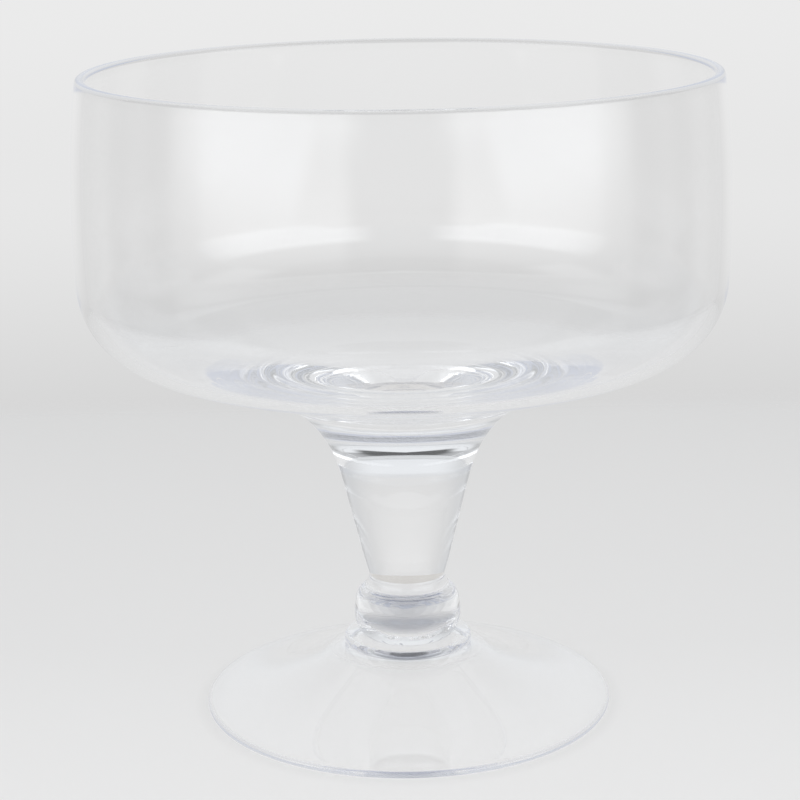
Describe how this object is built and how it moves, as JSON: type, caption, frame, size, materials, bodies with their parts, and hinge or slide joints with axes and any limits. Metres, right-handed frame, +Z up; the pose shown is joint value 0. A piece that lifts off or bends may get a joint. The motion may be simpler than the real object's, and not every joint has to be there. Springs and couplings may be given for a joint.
{
  "type": "footed trifle bowl",
  "caption": "Clear glass trifle bowl with a barrelled wall and a thick dished floor, standing on a tapered stem with a knop, a collar and a hollow conical foot.",
  "frame": {"origin": "middle of the ring that the foot stands on, on the axis of revolution", "axes": "+Z up along the axis of revolution, from the foot to the rim; X and Y are free, because the piece is round"},
  "size_m": [0.214, 0.214, 0.2163],
  "materials": {
    "clear_glass": "colourless hand-made glass, fire-polished, with a faint cool tint where it is thick"
  },
  "bodies": {
    "root": {"bowl": "clear_glass", "stem": "clear_glass", "knop": "clear_glass", "collar": "clear_glass", "foot": "clear_glass"}
  },
  "joints": []
}
